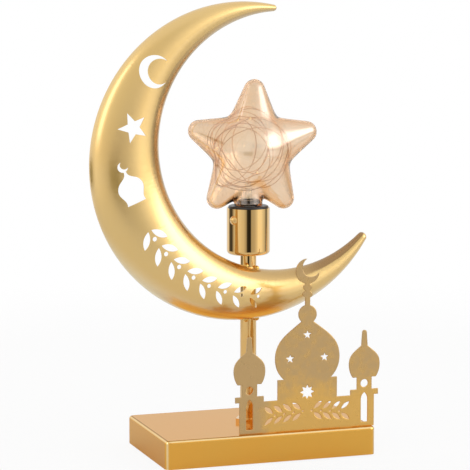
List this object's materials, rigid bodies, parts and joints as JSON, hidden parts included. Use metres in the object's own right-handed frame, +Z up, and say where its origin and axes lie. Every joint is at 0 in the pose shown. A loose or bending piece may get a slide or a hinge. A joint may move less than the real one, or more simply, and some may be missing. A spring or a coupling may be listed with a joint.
{
  "type": "crescent table lamp with star bulb",
  "caption": "Gold crescent-moon table lamp: pressed pierced crescent on a post, amber star bulb in a cup, and a pierced mosque-skyline panel on a low boxed base.",
  "frame": {"origin": "middle of the underside, on the table that the lamp stands on", "axes": "+Z up along the post, +X to the right as seen from the front, front of the lamp facing -Y"},
  "size_m": [0.2168, 0.0995, 0.3345],
  "materials": {
    "gold_polished": "polished gold plating",
    "gold_mirror": "mirror gold plating",
    "gold_satin": "satin gold plating",
    "panel_gold": "brushed gold plating",
    "steel_plate": "plain zinc plated sheet",
    "steel_fastener": "zinc plated",
    "felt_pad": "black felt",
    "rubber_bush": "matte",
    "block_plastic": "moulded",
    "brass_contact": "plain",
    "holder_black": "moulded gloss",
    "lead_brown": "extruded",
    "lead_blue": "extruded",
    "amber_glass": "blown, lustred",
    "nickel_cap": "nickel plated",
    "stem_glass": "clear",
    "board_green": "circuit board",
    "copper_wire": "bright drawn",
    "led_lens": "clear resin drop"
  },
  "bodies": {
    "lamp": {"base_cover": "gold_polished", "base_plate": "steel_plate", "base_plate_screws": "steel_fastener", "base_pillars": "steel_fastener", "base_pad": "felt_pad", "cord_bush": "rubber_bush", "terminal_block": "block_plastic", "block_clamps": "brass_contact", "block_screws": "steel_fastener", "post_tube": "gold_mirror", "post_foot_nut": "gold_mirror", "post_washer": "steel_fastener", "post_lock_nut": "steel_fastener", "lamp_cup": "gold_mirror", "cup_nut": "steel_fastener", "cup_screw": "gold_mirror", "holder_body": "holder_black", "holder_shell": "brass_contact", "holder_contact": "brass_contact", "holder_terminals": "brass_contact", "holder_terminal_screws": "steel_fastener", "lead_live": "lead_brown", "lead_neutral": "lead_blue", "crescent_shell": "gold_satin", "crescent_welds": "gold_satin", "mosque_panel": "panel_gold"},
    "bulb_foot": {"cap_insulator": "holder_black", "bulb_contact": "nickel_cap"},
    "bulb": {"star_glass": "amber_glass", "bulb_collar": "holder_black", "bulb_cap": "nickel_cap", "led_stem": "stem_glass", "driver_board": "board_green", "led_wire": "copper_wire", "led_beads": "led_lens"}
  },
  "joints": [
    {"name": "bulb_rise", "type": "slide", "parent": "lamp", "child": "bulb_foot", "axis": [0, 0, 1], "range_m": [0, 0.01482]},
    {"name": "bulb_turn", "type": "hinge", "parent": "bulb_foot", "child": "bulb", "pos_m": [-0.0025, -0.002, 0.185], "axis": [0, 0, 1], "range_deg": [0, 1890]}
  ],
  "couplings": [
    {"joint": "bulb_rise", "follows": "bulb_turn", "m_per_rad": 0.00044913}
  ]
}
